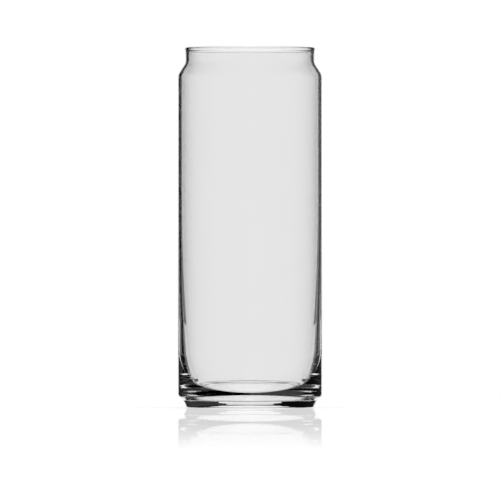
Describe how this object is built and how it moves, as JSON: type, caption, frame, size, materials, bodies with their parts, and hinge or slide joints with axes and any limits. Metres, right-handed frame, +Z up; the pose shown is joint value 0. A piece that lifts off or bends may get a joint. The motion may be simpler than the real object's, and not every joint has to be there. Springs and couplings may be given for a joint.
{
  "type": "can shaped drinking glass",
  "caption": "Tall clear drinking glass in the form of a slim drinks can, with a necked rim, a thick flat floor and a tapered foot.",
  "frame": {"origin": "centre of the ring that the glass stands on, at the level of the table", "axes": "+Z up along the glass's axis of revolution, from the foot to the rim; X and Y are alike"},
  "size_m": [0.06, 0.06, 0.15],
  "materials": {
    "clear_glass": "clear, colourless and fire polished, with no print"
  },
  "bodies": {
    "root": {"can_glass": "clear_glass"}
  },
  "joints": []
}
